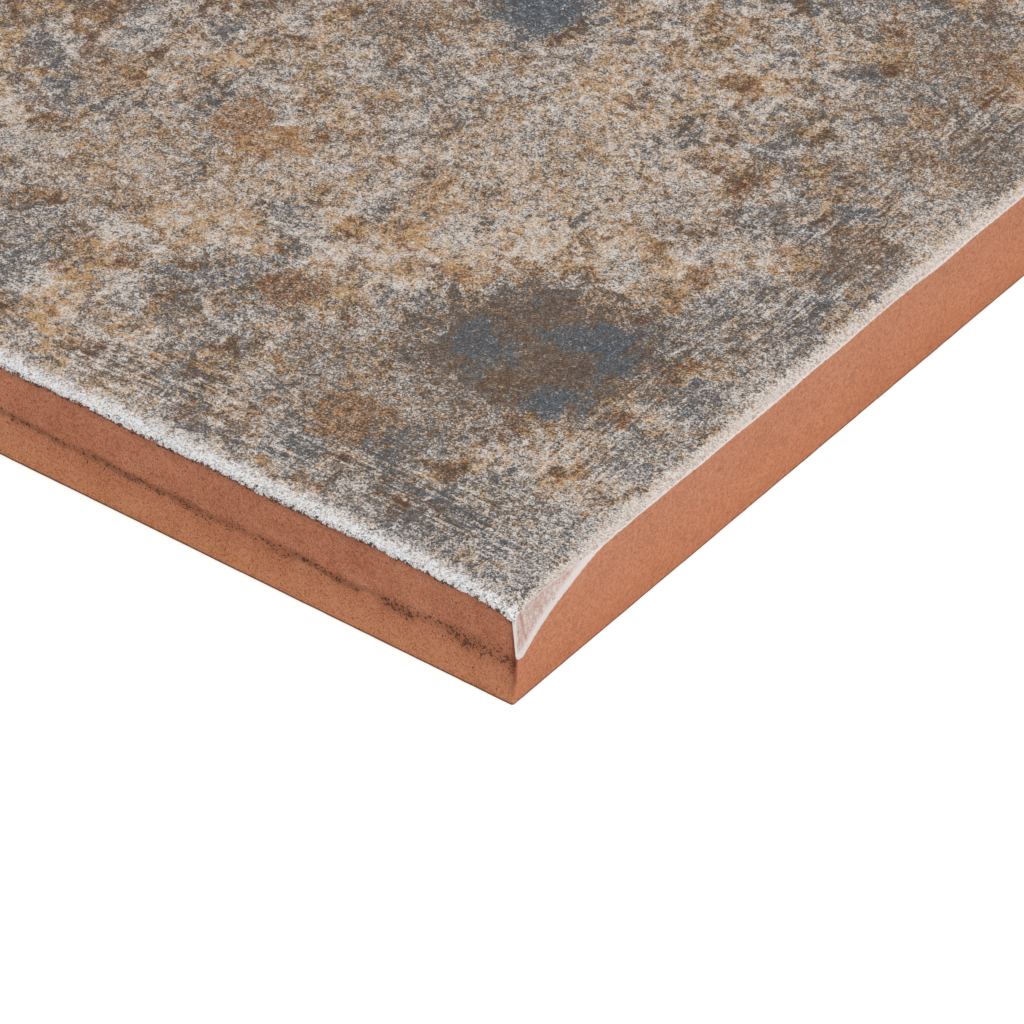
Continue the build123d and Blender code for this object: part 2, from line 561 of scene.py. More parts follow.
def rounded(u, v, half):
    """A point of a rounded square that stands for a point of the plain square."""
    core = half - KEY_MOUTH_RADIUS
    px, py = u * half, v * half
    qx, qy = np.clip(px, -core, core), np.clip(py, -core, core)
    ex, ey = px - qx, py - qy
    if not (ex and ey):
        return px, py
    length = math.hypot(ex, ey)
    return qx + ex / length * KEY_MOUTH_RADIUS, qy + ey / length * KEY_MOUTH_RADIUS


def add_pocket(shell, cx, cy, last):
    """One tapered pocket, inside the ring of points round its cell."""
    for half, depth in POCKET_LEVELS:
        places = np.array([rounded(u, v, half) for u, v in CELL_SQUARE])
        x, y = cx + places[:, 0], cy + places[:, 1]
        rough = KEY_ROUGHNESS * (1 + noise("key_walls", x, y))
        loop = shell.add_back(x, y, depth + (rough if depth == 0.0 else -rough * 0.5))
        shell.bridge(last, loop, "back")
        last = loop
    rim = {}
    for (u, v), point in zip(CELL_SQUARE, last):
        rim[(round((u + 1) / 2 * CELL_PARTS), round((v + 1) / 2 * CELL_PARTS))] = point
    floor = np.zeros((CELL_PARTS + 1, CELL_PARTS + 1), int)
    for i, u in enumerate(CELL_STEPS):
        for j, v in enumerate(CELL_STEPS):
            if (i, j) in rim:
                floor[i, j] = rim[(i, j)]
                continue
            x, y = cx + u * half, cy + v * half
            lump = KEY_FLOOR_LUMP * noise("key_floor", x, y)
            floor[i, j] = shell.add_back(x, y, KEY_DEPTH - KEY_FLOOR_LUMP + lump)[0]
    shell.grid(floor, "back")


def add_key(shell):
    """The grid of pockets in the back; returns the ring of points round all cells."""
    half_x, half_y = KEY_COLUMNS * KEY_PITCH / 2, KEY_ROWS * KEY_PITCH / 2
    half_cell = KEY_PITCH / 2
    made = {}

    def shared(x, y):
        """A point on the lines between cells, which is made once."""
        key = (round(x, 4), round(y, 4))
        if key not in made:
            z = KEY_RIB_LUMP * (1 + noise("back_lumps", x, y))
            made[key] = int(shell.add_back(x, y, z)[0])
        return made[key]

    for column in range(KEY_COLUMNS):
        for row in range(KEY_ROWS):
            cx = -half_x + (column + 0.5) * KEY_PITCH
            cy = -half_y + (row + 0.5) * KEY_PITCH
            cell = [shared(cx + u * half_cell, cy + v * half_cell) for u, v in CELL_SQUARE]
            add_pocket(shell, cx, cy, np.array(cell))
    xs = np.linspace(-half_x, half_x, KEY_COLUMNS * CELL_PARTS + 1)
    ys = np.linspace(-half_y, half_y, KEY_ROWS * CELL_PARTS + 1)
    rim = [shared(x, -half_y) for x in xs[:-1]] + [shared(half_x, y) for y in ys[:-1]]
    rim += [shared(-x, half_y) for x in xs[:-1]] + [shared(-half_x, -y) for y in ys[:-1]]
    return np.array(rim)


def build_tile():
    shell = Shell()
    width, inset = roll_sizes()
    crown_z = THICKNESS - face_depth(*ring(inset))[0]
    arris_z = THICKNESS - face_depth(OUTER_X, OUTER_Y)[0]
    steep_length = np.hypot(inset, crown_z - arris_z)
    last = add_middle(shell)
    last = add_crown(shell, last, width, inset, steep_length)
    last, arris_z = add_steep(shell, last, inset, crown_z, arris_z, steep_length)
    last = add_sides(shell, last, arris_z, steep_length)
    add_back(shell, last)
    return shell


# A face down to here below the glaze line takes the glazed material, whose shader draws that line
GLAZED_REACH = 0.6
SHARP_ANGLE = math.radians(50)


def make_object(shell, name, materials):
    points = np.concatenate(shell.points) * MM
    attributes = np.concatenate(shell.attributes)
    mesh = bpy.data.meshes.new(name)
    mesh.from_pydata(points.tolist(), [], shell.faces)
    for column, label in enumerate(("print_edge", "glaze_line", "cut_side", "lip")):
        attribute = mesh.attributes.new(label, "FLOAT", "POINT")
        attribute.data.foreach_set("value", attributes[:, column].astype(np.float32))
    for material in materials:
        mesh.materials.append(material)
    slots = []
    for face, region in zip(shell.faces, shell.regions):
        line = attributes[face, 1].mean()
        slots.append(0 if region == "face" or (region == "side" and line > -GLAZED_REACH) else 1)
    mesh.polygons.foreach_set("material_index", slots)
    mesh.polygons.foreach_set("use_smooth", [True] * len(mesh.polygons))
    mesh.update()
    mesh.set_sharp_from_angle(angle=SHARP_ANGLE)
    piece = bpy.data.objects.new(name, mesh)
    bpy.context.scene.collection.objects.link(piece)
    return piece


# Layers of noise for the looks: size in mm, detail, roughness, and a shift that sets it apart
LOOK_LAYERS = {
    "grain": (0.105, 1.0, 0.6, 3.0),
    "flecks": (0.3, 2.0, 0.6, 5.0),
    "lumps": (1.3, 2.0, 0.55, 7.0),
    "drift": (6.0, 1.0, 0.5, 11.0),
    "seam_wander": (3.6, 1.0, 0.5, 23.0),
    "zones": (19.0, 1.0, 0.5, 1.5),
    "blue": (6.0, 2.0, 0.55, 14.0),
    "spots": (2.6, 2.0, 0.5, 33.0),
    "cloud": (1.9, 2.0, 0.6, 52.0),
    "mottle": (0.6, 2.0, 0.6, 71.0),
    "cluster": (0.22, 1.0, 0.5, 83.0),
    "tint": (0.8, 1.0, 0.5, 29.0),
    "bend": (3.2, 1.0, 0.5, 61.0),
    "drag_x": (0.24, 1.0, 0.5, 91.0),
    "drag_y": (0.24, 1.0, 0.5, 97.0),
    "streaks": (0.25, 2.0, 0.6, 111.0),
    "jag": (0.3, 3.0, 0.6, 13.0),
    "wobble": (1.5, 2.0, 0.5, 17.0),
}

# What the grit passes to make a speck where their share is 0, how much less at 1, and how softly
GRIT_LEAST = 1.12
GRIT_SPAN = 0.45
GRIT_SOFTNESS = 0.06

WHITE = (1.0, 1.0, 1.0, 1.0)


class Nodes:
    """Adds nodes to one tree. An input may be a number, a colour or another node's output."""

    def __init__(self, owner):
        """Starts with an empty tree, of a material or of the world."""
        owner.use_nodes = True
        self.tree = owner.node_tree
        self.tree.nodes.clear()

    def add(self, kind, inputs, output=0, **settings):
        node = self.tree.nodes.new(kind)
        for key, value in settings.items():
            setattr(node, key, value)
        for key, value in inputs.items():
            socket = node.inputs[key]
            if isinstance(value, bpy.types.NodeSocket):
                self.tree.links.new(value, socket)
            else:
                socket.default_value = value
        return node.outputs[output]

    def show(self, kind, shader):
        """Links a shader to the tree's output, which is of this kind."""
        out = self.tree.nodes.new(kind)
        self.tree.links.new(shader, out.inputs["Surface"])

    def math(self, operation, *values):
        return self.add("ShaderNodeMath", dict(enumerate(values)), operation=operation)

    def absolute(self, value):
        return self.math("ABSOLUTE", value)

    def sum(self, *values):
        total = values[0]
        for value in values[1:]:
            total = self.math("ADD", total, value)
        return total

    def times(self, *values):
        total = values[0]
        for value in values[1:]:
            total = self.math("MULTIPLY", total, value)
        return total

    def scaled(self, value, gain, offset=0.0):
        return self.math("MULTIPLY_ADD", value, gain, offset)

    def centred(self, value, gain):
        """Noise from 0 to 1, as up to half the gain either side of 0."""
        return self.scaled(value, gain, -gain / 2)

    def ramp(self, value, low, high, start=0.0, end=1.0):
        inputs = {"Value": value, "From Min": low, "From Max": high, "To Min": start, "To Max": end}
        return self.add("ShaderNodeMapRange", inputs, interpolation_type="SMOOTHSTEP")

    def attribute(self, name):
        return self.add("ShaderNodeAttribute", {}, "Fac", attribute_name=name)

    def part(self, vector, axis):
        return self.add("ShaderNodeSeparateXYZ", {0: vector}, axis)

    def stretched(self, vector, scale, shift=(0.0, 0.0, 0.0)):
        inputs = {0: vector, 1: scale, 2: shift}
        return self.add("ShaderNodeVectorMath", inputs, operation="MULTIPLY_ADD")

    def noise(self, layer, vector, dimensions="3D"):
        size, detail, roughness, shift = LOOK_LAYERS[layer]
        place = self.stretched(vector, (1 / size,) * 3, (shift, shift * 0.7, shift * 1.3))
        inputs = {"Vector": place, "Scale": 1.0, "Detail": detail, "Roughness": roughness}
        return self.add("ShaderNodeTexNoise", inputs, "Fac", noise_dimensions=dimensions)

    def print_noise(self, layer, vector):
        return self.noise(layer, vector, "2D")

    def drops(self, vector, size, shift):
        """Small cells, as the separate random numbers of each: red, green and blue."""
        inputs = {"Vector": self.stretched(vector, (1 / size,) * 3, shift), "Scale": 1.0}
        colour = self.add("ShaderNodeTexVoronoi", inputs, "Color", voronoi_dimensions="2D")
        return self.add("ShaderNodeSeparateColor", {0: colour}, "Red").node.outputs

    def grit(self, amount, share):
        """Ragged specks where the grit is highest: none for a share of 0, dense for 1."""
        least = self.scaled(share, -GRIT_SPAN, GRIT_LEAST)
        return self.ramp(self.math("SUBTRACT", amount, least), 0.0, GRIT_SOFTNESS)

    def between(self, share, first, second):
        """A mix of two vectors, whose values may be below 0."""
        return self.add("ShaderNodeMix", {0: share, 4: first, 5: second}, 1, data_type="VECTOR")

    def mix(self, share, first, second, blend="MIX"):
        inputs = {0: share, 6: first, 7: second}
        return self.add("ShaderNodeMix", inputs, 2, data_type="RGBA", blend_type=blend)


def srgb(red, green, blue):
    """A colour written as 8-bit screen values, as linear light."""
    def linear(value):
        share = value / 255
        return share / 12.92 if share <= 0.04045 else ((share + 0.055) / 1.055) ** 2.4
    return (linear(red), linear(green), linear(blue), 1.0)


# Colours of the clay
PRESSED_LOW = srgb(194, 124, 87)
PRESSED_HIGH = srgb(190, 126, 95)
# The lowest colour of the sawn sides is lighter, as painted light bounced from the floor
SAWN_LOW_BOUNCE_LIT = srgb(216, 144, 101)
SAWN_MIDDLE = srgb(193, 121, 86)
SAWN_HIGH = srgb(192, 121, 89)
CLAY_LIGHT = srgb(234, 178, 142)
CLAY_DARK = srgb(104, 50, 30)
# Painted shade of soft dents on the pressed sides
DENT_SHADE = srgb(120, 66, 44)
SEAM = srgb(104, 68, 52)
SEAM_SPECK = srgb(52, 34, 28)
# Painted shade next to the corners on the cut sides, and along the bottom edge
CORNER_SHADE = srgb(116, 46, 30)
BOTTOM_EDGE_SHADE = srgb(84, 42, 28)
# Painted shade on the clay just below the glaze edge
SHADE_UNDER_GLAZE = srgb(118, 66, 46)
GLAZE_SPECK = srgb(46, 36, 32)

# Colours of the glaze without print
RIM_PRESSED = srgb(218, 209, 203)
# White glaze of the cut sides' rim, painted brighter and bluer as a painted highlight
RIM_CUT_WITH_HIGHLIGHT = srgb(227, 229, 232)
GROUND = srgb(214, 207, 201)
ARRIS_SPECK = srgb(64, 64, 70)
THICK_GLAZE = (srgb(226, 218, 215), srgb(208, 196, 190))
THIN_GLAZE = (srgb(182, 148, 137), srgb(212, 196, 189))
THIN_GLAZE_SPECK = srgb(120, 100, 96)
# Painted shade along the crease of the lip
CREASE_SHADE = srgb(176, 124, 108)

# Inks, as linear light; the slate ink from its darkest to its palest drops
OCHRE_INK = (0.79, 0.49, 0.21, 1.0)
BROWN_INK = (0.48, 0.28, 0.17, 1.0)
COOL_SLATE_INK = ((0.026, 0.043, 0.070, 1.0), (0.125, 0.180, 0.255, 1.0))
WARM_SLATE_INK = ((0.09, 0.062, 0.042, 1.0), (0.35, 0.275, 0.205, 1.0))
DROP_SIZE = 0.085
SECOND_DROP_SIZE = 0.095
SECOND_DROP_SHIFT = (7.3, 2.1, 0.0)
MOST_INK = 1.35


def clay_look(g, place):
    """Colour and roughness of the bare clay with its painted light and shade, the grit that its dark
    specks come from, and its noise.
    """
    up = g.part(place, "Z")
    cut = g.times(g.attribute("cut_side"), g.ramp(up, 0.0, 0.02))
    layers = ("grain", "flecks", "lumps", "drift")
    grain, flecks, lumps, drift = (g.noise(layer, place) for layer in layers)
    grit = g.sum(g.scaled(grain, 1.4), g.scaled(flecks, 1.6, -0.85))

    # From the back to the glaze, and flecked lighter and darker; the sawn sides are painted lighter
    # towards the bottom, as painted light bounced from the floor
    height = g.sum(up, g.centred(lumps, 0.9))
    plain = g.mix(g.ramp(height, 0.0, 6.5), PRESSED_LOW, PRESSED_HIGH)
    sawn = g.mix(g.ramp(height, 0.0, 3.4), SAWN_LOW_BOUNCE_LIT, SAWN_MIDDLE)
    sawn = g.mix(g.ramp(height, 3.0, 4.2), sawn, SAWN_HIGH)
    colour = g.mix(cut, plain, sawn)
    tone = g.sum(
        g.centred(grain, 2.3), g.centred(flecks, 1.9), g.centred(lumps, 0.7), g.centred(drift, 0.3),
    )
    tone = g.times(tone, g.scaled(cut, 0.4, 0.5))
    colour = g.mix(g.math("MAXIMUM", tone, 0.0), colour, CLAY_LIGHT)
    colour = g.mix(g.math("MAXIMUM", g.scaled(tone, -1.0), 0.0), colour, CLAY_DARK)

    # Painted shade of soft dents on the pressed sides
    dent_shade = g.times(g.ramp(lumps, 0.6, 0.72), g.scaled(cut, -1.0, 1.0))
    colour = g.mix(g.times(dent_shade, 0.22), colour, DENT_SHADE)

    # Seam of the cut sides, which crumbles into specks towards the ends
    seam_at = g.sum(up, g.centred(g.noise("seam_wander", place), -0.9), g.centred(lumps, -0.5))
    away = g.absolute(g.math("SUBTRACT", seam_at, SEAM_HEIGHT))
    broken = g.ramp(g.sum(drift, g.centred(lumps, 0.5)), 0.36, 0.56)
    seam = g.times(g.ramp(away, 0.42, 0.05), cut, g.scaled(broken, 0.75, 0.25))
    end = g.absolute(g.part(place, "X"))
    crumbling = g.times(g.ramp(end, 136.0, 146.0), cut)
    colour = g.mix(g.times(seam, g.scaled(crumbling, -0.3, 0.42)), colour, SEAM)
    minus_reach = g.scaled(crumbling, -0.6, -0.75)
    near_seam = g.ramp(g.math("DIVIDE", away, minus_reach), -1.0, -0.05)
    gathered = g.math("MAXIMUM", g.ramp(lumps, 0.62, 0.5), g.scaled(crumbling, 0.8))
    near_seam = g.times(near_seam, cut, gathered)
    dense = g.scaled(crumbling, 0.24, 0.5)
    specks = g.grit(grit, g.sum(g.times(near_seam, dense), g.scaled(cut, 0.28, 0.1)))
    colour = g.mix(g.times(specks, 0.85), colour, SEAM_SPECK)

    # Painted shade: the ends of the cut sides are darker next to the corners, and the back edge is
    # darker
    corner_shade = g.sum(g.ramp(end, 149.5, 149.75, 0.0, 0.4), g.ramp(end, 148.9, 149.7, 0.0, 0.22))
    colour = g.mix(g.times(corner_shade, cut, g.ramp(up, 0.0, 3.4, 0.35, 1.0)), colour, CORNER_SHADE)
    side = g.absolute(g.part(place, "Y"))
    outline = g.math("MAXIMUM", g.ramp(end, 149.3, 149.6), g.ramp(side, 49.6, 49.9))
    # Painted shade: a dark line along the bottom edge, where the tile meets the floor
    wear_and_bottom_shade = g.times(g.ramp(g.sum(up, g.centred(grain, 0.1)), 0.2, 0.07), outline)
    colour = g.mix(g.times(wear_and_bottom_shade, 0.8), colour, BOTTOM_EDGE_SHADE)
    return colour, g.scaled(grain, 0.15, 0.8), grit, (grain, flecks, lumps)


# Blotches of the print, in a plane turned with the view: place across and away, half sizes in mm, how
# firmly each is set, and its shares of slate, ochre and brown ink. Later ones lie on earlier ones.
BLOTCHES = (
    # Wide lighter and darker parts of the photographed corner
    (84.0, -83.0, 20.0, 13.0, 0.35, 0.30, 0.46, 0.0),
    (80.5, -110.5, 7.0, 7.5, 0.45, 0.72, 0.32, 0.04),
    (114.5, -88.0, 5.0, 9.5, 0.50, 0.76, 0.30, 0.08),
    (105.5, -75.5, 4.6, 3.6, 0.50, 0.26, 0.42, -0.04),
    (66.0, -88.5, 10.0, 4.5, 0.45, 0.64, 0.42, 0.08),
    (91.4, -87.8, 6.0, 9.0, 0.50, 0.30, 0.40, -0.04),
    (89.5, -95.5, 3.4, 2.3, 0.60, 0.12, 0.40, -0.10),
    (99.2, -93.4, 3.6, 3.0, 0.60, 0.60, 0.12, -0.12),
    (102.0, -104.6, 4.0, 4.4, 0.55, 0.76, 0.16, -0.06),
    # The strip next to the corner itself
    (89.0, -125.5, 7.5, 5.4, 0.70, 0.60, 0.16, -0.42),
    (85.8, -123.2, 3.2, 1.8, 0.60, 0.70, 0.32, -0.05),
    # The large blotch, then its blue hearts and its brown parts
    (89.9, -106.3, 7.2, 6.2, 0.95, 1.25, 0.40, 0.16),
    (85.2, -104.6, 1.5, 2.2, 0.50, 1.35, 0.30, -0.02),
    (87.0, -106.6, 1.7, 2.5, 0.75, 1.20, 0.00, -0.55),
    (93.0, -105.4, 2.7, 1.5, 0.75, 1.20, 0.00, -0.55),
    (94.4, -107.6, 1.2, 1.8, 0.70, 1.20, 0.05, -0.45),
    (91.2, -111.4, 2.1, 1.4, 0.75, 1.20, 0.00, -0.55),
    (88.4, -109.6, 1.4, 1.5, 0.60, 1.05, 0.62, 0.40),
    (91.6, -108.9, 1.7, 1.2, 0.60, 1.15, 0.55, 0.38),
    # Lighter and darker parts round it
    (96.6, -110.0, 1.9, 1.3, 0.65, 0.80, 0.62, 0.30),
    (81.8, -114.3, 1.8, 1.8, 0.70, 1.05, 0.22, 0.00),
    (77.2, -106.2, 2.2, 2.0, 0.60, 0.90, 0.36, 0.14),
    (98.9, -111.4, 2.4, 1.8, 0.75, 0.95, 0.16, -0.10),
    (89.2, -116.9, 2.4, 1.2, 0.60, 0.28, 0.28, -0.20),
    (96.0, -116.5, 3.0, 2.2, 0.65, 0.80, 0.14, -0.10),
    # Small spots of rust and slate
    (86.5, -126.0, 1.5, 1.0, 0.75, 0.50, 0.74, 0.24),
    (79.5, -112.9, 2.7, 2.4, 0.80, 0.64, 0.84, 0.48),
    (75.4, -100.5, 2.0, 1.6, 0.90, 0.64, 0.70, 0.62),
    (72.1, -83.7, 2.2, 2.0, 0.90, 0.46, 0.74, 0.52),
    (73.9, -86.1, 1.9, 1.7, 0.85, 0.34, 0.95, 0.36),
    (83.8, -91.8, 1.3, 2.6, 0.80, 0.36, 0.80, 0.22),
    (82.4, -73.4, 2.9, 1.7, 0.75, 0.75, 0.52, 0.28),
    (90.0, -72.5, 2.9, 2.4, 0.95, 1.08, -0.10, -0.60),
    (63.8, -79.2, 1.5, 2.1, 0.75, 0.60, 0.50, 0.28),
    (59.6, -94.3, 3.4, 2.3, 0.65, 0.70, 0.10, -0.14),
    (70.4, -99.2, 3.0, 1.0, 0.70, 0.76, 0.08, -0.12),
    (113.5, -83.8, 1.1, 1.5, 0.75, 0.46, 0.72, 0.38),
    (116.6, -77.8, 3.2, 3.2, 0.70, 0.76, 0.50, 0.32),
    (117.7, -88.2, 2.8, 3.0, 0.75, 0.95, 0.36, 0.12),
    (109.0, -97.6, 2.6, 2.8, 0.80, 0.98, 0.42, 0.28),
    # The rest of the tile, which the photograph doesn't show
    (44.0, -13.0, 6.4, 5.4, 0.90, 0.93, 0.42, 0.20),
    (45.5, -13.5, 2.4, 2.0, 0.75, 1.00, -0.10, -0.35),
    (-38.0, 42.0, 5.2, 7.0, 0.85, 0.90, 0.42, 0.24),
    (-42.0, 37.5, 3.4, 2.6, 0.80, 1.00, 0.40, 0.20),
    (-37.4, 41.0, 1.8, 2.6, 0.75, 1.15, 0.00, -0.55),
    (-32.0, 47.5, 2.6, 1.9, 0.80, 0.60, 0.80, 0.45),
    (-108.0, 78.0, 7.2, 5.6, 0.90, 0.92, 0.38, 0.18),
    (-106.0, 79.0, 2.8, 2.2, 0.75, 1.10, -0.10, -0.45),
    (-101.5, 81.5, 3.2, 2.4, 0.75, 0.90, 0.40, 0.16),
    (12.0, -28.0, 3.0, 2.4, 0.80, 0.55, 0.60, 0.42),
)
VIEW_TURN = math.radians(37.4)

# The layers of the print are bent by swirls: how many there are in a mm, and how far they bend, in mm
SWIRL_SCALE = 0.55
SWIRL_REACH = 2.6
DRAG_STRETCH = 0.06


def swirled(g, flat):
    """The plane of the print, bent by swirls."""
    inputs = {"Vector": g.stretched(flat, (SWIRL_SCALE,) * 3), "Scale": 1.0, "Detail": 2.0}
    swirls = g.add("ShaderNodeTexNoise", inputs, "Color", noise_dimensions="2D")
    swirls = g.add("ShaderNodeVectorMath", {0: swirls, 1: (0.5, 0.5, 0.5)}, operation="SUBTRACT")
    return g.stretched(swirls, (SWIRL_REACH, SWIRL_REACH, 0.0), flat)


def ink_shares(g, warped, blue, cloud, mottle):
    """How much slate, ochre and brown ink each place takes, by noise and by the blotches."""
    zones, spots, bend = (g.print_noise(layer, warped) for layer in ("zones", "spots", "bend"))
    hearts = g.ramp(spots, 0.58, 0.70)
    halos = g.ramp(spots, 0.52, 0.60)
    veins = g.ramp(g.absolute(g.centred(bend, 1.0)), 0.022, 0.004)
    veins = g.times(veins, g.ramp(mottle, 0.4, 0.55))
    slate = g.sum(
        g.scaled(blue, 0.9, 0.09), g.centred(zones, 0.9), g.centred(cloud, 1.5),
        g.times(hearts, 0.12), g.times(veins, 0.06),
    )
    ochre = g.sum(
        g.scaled(blue, -0.3, 0.48), g.centred(bend, 2.1), g.centred(zones, -0.4),
        g.times(halos, 0.16), g.times(veins, 0.22),
    )
    brown = g.sum(g.centred(spots, 0.8), g.scaled(cloud, 0.3, -0.13), g.times(hearts, 0.4))
    inks = g.add("ShaderNodeCombineXYZ", {0: slate, 1: ochre, 2: brown})

    inputs = {"Vector": warped, "Center": (0.0, 0.0, 0.0), "Axis": (0.0, 0.0, 1.0), "Angle": -VIEW_TURN}
    turned = g.add("ShaderNodeVectorRotate", inputs)
    ragged = g.sum(g.centred(cloud, 1.5), g.centred(mottle, 1.5))
    for across, away, half_across, half_away, firmness, *shares in BLOTCHES:
        scale = (1 / half_across, 1 / half_away, 0.0)
        offset = g.stretched(turned, scale, (-across / half_across, -away / half_away, 0.0))
        length = g.add("ShaderNodeVectorMath", {0: offset}, "Value", operation="LENGTH")
        length = g.math("ADD", length, ragged)
        inks = g.between(g.ramp(length, 1.1, 0.8, 0.0, firmness), inks, shares)
    return g.add("ShaderNodeSeparateXYZ", {0: inks}).node.outputs


def drag_lines(g, place, flat, edge, blue):
    """More or less slate ink in short lines beside the edges, and along them."""
    lines_x = g.print_noise("drag_x", g.stretched(flat, (DRAG_STRETCH, 1.0, 0.0)))
    lines_y = g.print_noise("drag_y", g.stretched(flat, (1.0, DRAG_STRETCH, 0.0)))
    along_x = g.ramp(g.absolute(g.part(place, "Y")), 38.0, 44.0)
    along_y = g.math("SUBTRACT", 1.0, along_x)
    lines = g.sum(g.times(lines_x, along_x), g.times(lines_y, along_y))
    band = g.times(g.ramp(edge, 1.8, 3.0), g.ramp(edge, 10.0, 6.0), g.ramp(blue, 0.35, 0.55, 0.3, 1.0))
    return g.times(g.scaled(lines, 1.5, -0.74), band)


def print_look(g, place, grit):
    """Colour of the printed glaze: many small drops of slate, ochre and brown ink on a pale ground, with
    a painted highlight on the cut sides' rim.
    """
    flat = g.stretched(place, (1.0, 1.0, 0.0))
    warped = swirled(g, flat)
    blue, cloud = (g.print_noise(layer, warped) for layer in ("blue", "cloud"))
    mottle, cluster, tint = (g.print_noise(layer, flat) for layer in ("mottle", "cluster", "tint"))
    edge, cut, lip = (g.attribute(name) for name in ("print_edge", "cut_side", "lip"))
    slate, ochre, brown = ink_shares(g, warped, blue, cloud, mottle)
    drag = drag_lines(g, place, flat, edge, blue)

    # The print thins out towards the arris, further in from a cut side, and hardly at all above the lip
    bare_width = g.sum(g.scaled(cut, 0.6, 1.25), g.scaled(lip, -0.65))
    frayed = g.sum(edge, g.centred(mottle, 0.8), g.centred(blue, 0.5), g.centred(cluster, 0.5))
    on_face = g.ramp(edge, -0.1, 0.02)
    fading = g.times(g.ramp(g.math("DIVIDE", frayed, bare_width), 0.12, 1.0), on_face)
    # The rim is unprinted white glaze; on the cut sides it also carries a painted highlight
    rim = g.mix(cut, RIM_PRESSED, RIM_CUT_WITH_HIGHLIGHT)
    colour = g.mix(g.ramp(fading, 0.0, 0.7), rim, GROUND)

    # The slate ink runs from blue to brown, and from thick to thin
    first = g.drops(flat, DROP_SIZE, (0.0, 0.0, 0.0))
    second = g.drops(flat, SECOND_DROP_SIZE, SECOND_DROP_SHIFT)
    warmth = g.sum(g.scaled(first[1], 1.1, 0.48), g.scaled(blue, -1.0), g.times(brown, 1.3))
    slate_ink = g.mix(warmth, g.mix(first[2], *COOL_SLATE_INK), g.mix(first[2], *WARM_SLATE_INK))

    # Each drop takes an ink where its own random number is below the amount of that ink
    near_edge = g.ramp(edge, 5.5, 1.5)
    grains = g.sum(g.centred(mottle, 1.3), g.centred(cluster, 0.7))
    tints = g.sum(g.centred(tint, 1.2), g.centred(cluster, -0.5))
    for amount, chance, ink in (
        (g.sum(ochre, tints, g.times(near_edge, -0.2)), second[2], OCHRE_INK),
        (g.sum(brown, g.times(tints, 0.4), g.times(near_edge, -0.1)), second[1], BROWN_INK),
        (g.sum(slate, grains, drag), first[0], slate_ink),
    ):
        cover = g.math("MINIMUM", g.math("MAXIMUM", amount, 0.0), MOST_INK)
        level = g.math("SUBTRACT", g.times(cover, fading), chance)
        wet = g.mix(g.ramp(level, -0.5, 0.5), WHITE, ink)
        colour = g.mix(1.0, colour, wet, "MULTIPLY")

    # Black specks all along the arris of a cut side and above the lip
    near_cut = g.times(g.ramp(edge, 0.8, 0.0), cut, 0.8)
    near_lip = g.times(g.ramp(edge, 2.5, 0.2), lip)
    stray = g.grit(grit, g.times(g.math("MAXIMUM", near_cut, near_lip), 0.72))
    colour = g.mix(g.times(stray, on_face, 0.8), colour, ARRIS_SPECK)
    return colour, mottle, cluster


BUMP_DISTANCE = 0.00006


def principled(g, colour, roughness, height, strength, specular):
    shader = g.tree.nodes.new("ShaderNodeBsdfPrincipled")
    shader.inputs["Specular IOR Level"].default_value = specular
    g.tree.links.new(colour, shader.inputs["Base Color"])
    g.tree.links.new(roughness, shader.inputs["Roughness"])
    inputs = {"Strength": strength, "Distance": BUMP_DISTANCE, "Height": height}
    bump = g.add("ShaderNodeBump", inputs, "Normal")
    g.tree.links.new(bump, shader.inputs["Normal"])
    g.show("ShaderNodeOutputMaterial", shader.outputs[0])


def new_material(name):
    """An empty material, its nodes, and the place on the tile in mm."""
    material = bpy.data.materials.new(name)
    g = Nodes(material)
    place = g.add("ShaderNodeTexCoord", {}, "Object")
    return material, g, g.stretched(place, (1000.0,) * 3)


def clay_material():
    material, g, place = new_material("clay_body")
    colour, roughness, _, (grain, flecks, lumps) = clay_look(g, place)
    relief = g.sum(g.times(grain, 0.5), g.times(flecks, 0.6), g.times(lumps, 0.6))
    principled(g, colour, roughness, relief, strength=0.5, specular=0.25)
    return material


def bare_glaze(g, place, edge, line, cut, grain, grit):
    """Colour of the glaze below the crown: thin and pinkish over the clay, white where it is thick, with
    painted shade along the lip's crease.
    """
    streaks = g.noise("streaks", g.stretched(place, (1.0, 1.0, 0.25)))
    grainy = g.sum(streaks, g.centred(grain, 1.5))
    pink = g.mix(g.ramp(grainy, 0.25, 0.75), *THIN_GLAZE)
    pink = g.mix(g.times(g.grit(grit, 0.6), 0.3), pink, THIN_GLAZE_SPECK)
    leaning = g.scaled(g.part(place, "Z"), CREASE_LEAN, CREASE_AT)
    crease = g.absolute(g.sum(g.part(place, "Y"), leaning, g.centred(streaks, 0.3)))
    # Painted shade along the crease of the lip
    pink = g.mix(g.times(g.ramp(crease, CREASE_HALF_WIDTH, 0.03), 0.7), pink, CREASE_SHADE)
    thin = g.times(g.ramp(edge, -0.05, -0.3), g.ramp(line, 0.3, 0.8), g.ramp(cut, 0.8, 0.2))
    return g.mix(thin, g.mix(grain, *THICK_GLAZE), pink)


